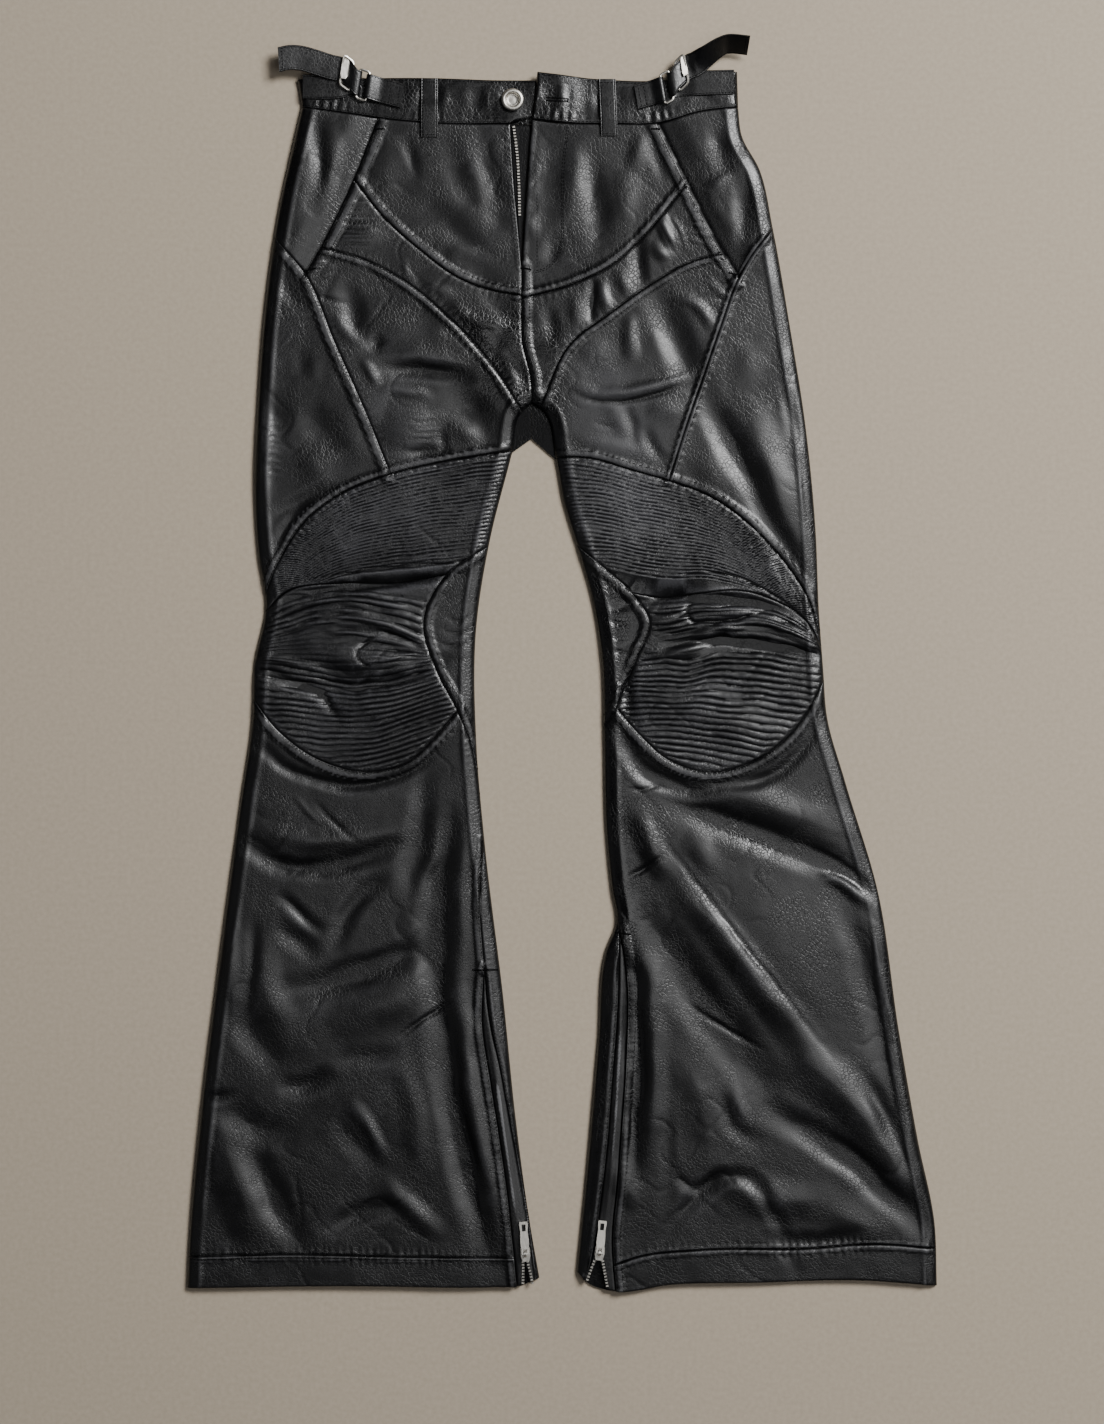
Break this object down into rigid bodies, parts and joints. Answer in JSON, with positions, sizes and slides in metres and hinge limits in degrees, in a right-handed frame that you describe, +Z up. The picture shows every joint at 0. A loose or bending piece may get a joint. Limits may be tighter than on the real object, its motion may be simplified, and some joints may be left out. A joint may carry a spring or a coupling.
{
  "type": "flared trousers",
  "caption": "Flared trousers in coated black cloth laid flat, with ribbed knee panels, curved seams, side adjuster straps with metal rings and zipped ankles.",
  "frame": {"origin": "on the surface that the trousers lie on, under the middle of their outline", "axes": "+Z up from the surface, +Y from the hems to the waist, +X to the wearer's left leg"},
  "size_m": [0.6676, 1.1159, 0.0238],
  "materials": {
    "coated_cloth": "coated cloth with a soft grain and a low sheen",
    "coated_cloth_ribbed": "coated cloth in raised ribs, greyer on their crests",
    "coated_cloth_under": "coated cloth, plain",
    "zip_tape": "woven black tape",
    "nickel": "bright nickel plate, lightly worn"
  },
  "bodies": {
    "trousers": {"hip_side_right": "coated_cloth", "hip_side_left": "coated_cloth", "front_yoke_right": "coated_cloth", "front_yoke_left": "coated_cloth", "front_middle_right": "coated_cloth", "front_middle_left": "coated_cloth", "thigh_front_right": "coated_cloth", "thigh_front_left": "coated_cloth", "thigh_side_right": "coated_cloth", "thigh_side_left": "coated_cloth", "knee_gusset_right": "coated_cloth", "knee_gusset_left": "coated_cloth", "shin_right": "coated_cloth", "shin_left": "coated_cloth", "hem_band_right": "coated_cloth", "hem_band_left": "coated_cloth", "inseam_strip_right": "coated_cloth", "inseam_strip_left": "coated_cloth", "waistband_right": "coated_cloth", "waistband_left": "coated_cloth", "belt_loop_right": "coated_cloth", "belt_loop_left": "coated_cloth", "adjuster_tab_right": "coated_cloth", "adjuster_tab_left": "coated_cloth", "adjuster_strap_right": "coated_cloth", "adjuster_strap_left": "coated_cloth", "thigh_ribs_right": "coated_cloth_ribbed", "thigh_ribs_left": "coated_cloth_ribbed", "knee_ribs_right": "coated_cloth_ribbed", "knee_ribs_left": "coated_cloth_ribbed", "leg_back_right": "coated_cloth_under", "leg_back_left": "coated_cloth_under", "waistband_back": "coated_cloth", "fly_underlap": "coated_cloth_under", "fly_zip_tape": "zip_tape", "ankle_zip_tape_right": "zip_tape", "ankle_zip_tape_left": "zip_tape", "ring_front_right": "nickel", "ring_front_left": "nickel", "ring_side_right": "nickel", "ring_side_left": "nickel", "zip_slider_right": "nickel", "zip_slider_left": "nickel", "waist_button": "nickel"},
    "pull_tab_right": {"zip_pull_right": "nickel"},
    "pull_tab_left": {"zip_pull_left": "nickel"}
  },
  "joints": [
    {"name": "pull_tab_right_hinge", "type": "hinge", "parent": "trousers", "child": "pull_tab_right", "pos_m": [-0.0325, -0.5235, 0.0109], "axis": [0.9976, 0.0698, 0], "range_deg": [0, 172]},
    {"name": "pull_tab_left_hinge", "type": "hinge", "parent": "trousers", "child": "pull_tab_left", "pos_m": [0.0335, -0.5225, 0.0109], "axis": [0.9956, -0.0941, 0], "range_deg": [0, 172]}
  ]
}
